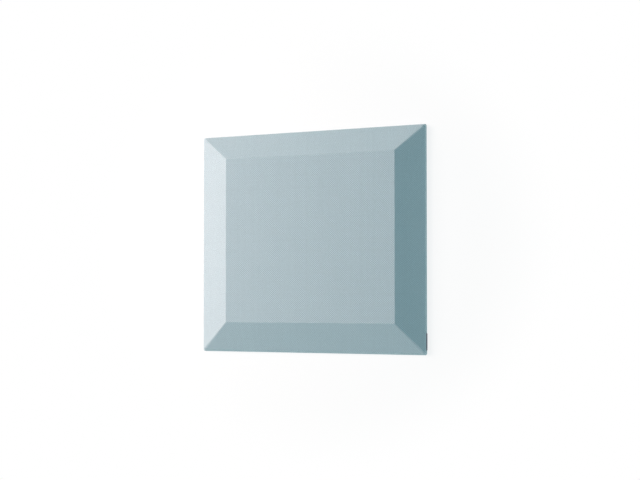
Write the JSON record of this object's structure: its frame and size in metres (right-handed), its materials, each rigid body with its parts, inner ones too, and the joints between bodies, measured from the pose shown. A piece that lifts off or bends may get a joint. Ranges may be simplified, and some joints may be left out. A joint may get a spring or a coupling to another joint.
{
  "type": "acoustic wall tile",
  "caption": "Square sound-absorbing wall tile with mitred bevels, in a pale blue-grey woven cover turned in on the back, with a bare side label.",
  "frame": {"origin": "middle of the tile's flat back, which lies against the wall", "axes": "+X across the face to the side with the label, +Y up on the wall, +Z out of the face"},
  "size_m": [0.586, 0.585, 0.08],
  "materials": {
    "fibre": "matte moulded polyester fibre, pale, with short loose fibres",
    "weave": "matte plain weave, pale blue-grey, with fine lighter and darker threads",
    "ribbon": "matte woven ribbon, cool mid-grey"
  },
  "bodies": {
    "root": {"moulded_core": "fibre", "fabric_cover": "weave", "side_label": "ribbon"}
  },
  "joints": []
}
